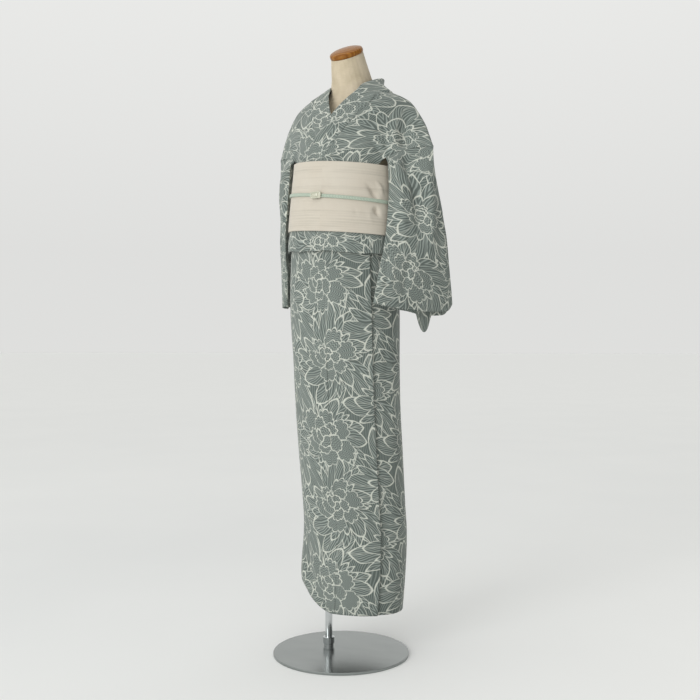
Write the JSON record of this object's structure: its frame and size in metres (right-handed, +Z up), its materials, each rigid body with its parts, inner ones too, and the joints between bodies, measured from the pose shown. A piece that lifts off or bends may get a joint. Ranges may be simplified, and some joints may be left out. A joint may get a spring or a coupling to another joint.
{
  "type": "cotton yukata robe on a dress form stand",
  "caption": "Ankle-length wrapped cotton robe with wide hanging sleeves, waist tuck, sash and cord, worn on a limbless form on a round-footed pole.",
  "frame": {"origin": "where the pole's axis meets the floor, on the flat underside of the base", "axes": "+Z up along the pole, -Y the way the robe faces, +X the wearer's left"},
  "size_m": [0.4784, 0.3611, 1.5482],
  "materials": {
    "robe": "grey-green cotton with an off-white line pattern of peonies and leaves",
    "obi": "beige woven band with fine lengthwise stripes",
    "cord": "flat mint-green braid",
    "clasp": "pale polished slide",
    "form": "natural linen stretched over a hard shell",
    "cap": "satin varnished wood",
    "pole": "polished",
    "base": "satin brushed steel"
  },
  "bodies": {
    "root": {"skirt_okumi_left": "robe", "skirt_front_left": "robe", "skirt_back_left": "robe", "skirt_back_right": "robe", "skirt_front_right": "robe", "skirt_okumi_right": "robe", "tuck_left": "robe", "tuck_right": "robe", "bodice_left": "robe", "bodice_right": "robe", "collar": "robe", "sleeve_left": "robe", "sleeve_right": "robe", "obi": "obi", "obi_end": "obi", "obi_cord": "cord", "obi_clasp": "clasp", "form_torso": "form", "form_cap": "cap", "stand_pole": "pole", "stand_socket": "pole", "stand_base": "base"}
  },
  "joints": []
}
